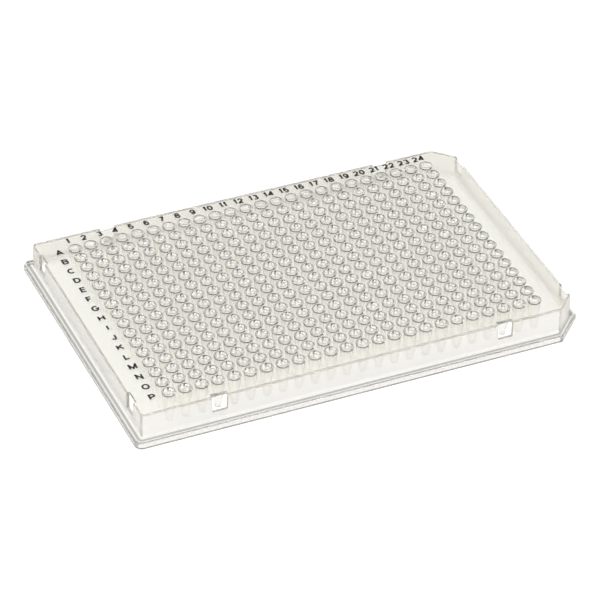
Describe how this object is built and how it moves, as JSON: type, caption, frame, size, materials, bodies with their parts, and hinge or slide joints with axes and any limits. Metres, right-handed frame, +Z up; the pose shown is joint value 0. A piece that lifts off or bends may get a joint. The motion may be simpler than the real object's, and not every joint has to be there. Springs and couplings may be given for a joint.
{
  "type": "well plate",
  "caption": "Low rectangular plate of clear plastic with a dense grid of small conical wells, a stepped skirt with windows, and cut corners at one end.",
  "frame": {"origin": "middle of the base, on the surface that the plate stands on", "axes": "+X along the rows from column 1 to column 24, +Y along the columns from row P to row A, +Z up, out of the wells"},
  "size_m": [0.1278, 0.0854, 0.0093],
  "materials": {
    "clear_polypropylene": "gloss",
    "print": "matte"
  },
  "bodies": {
    "root": {"well_plate": "clear_polypropylene"}
  },
  "joints": []
}
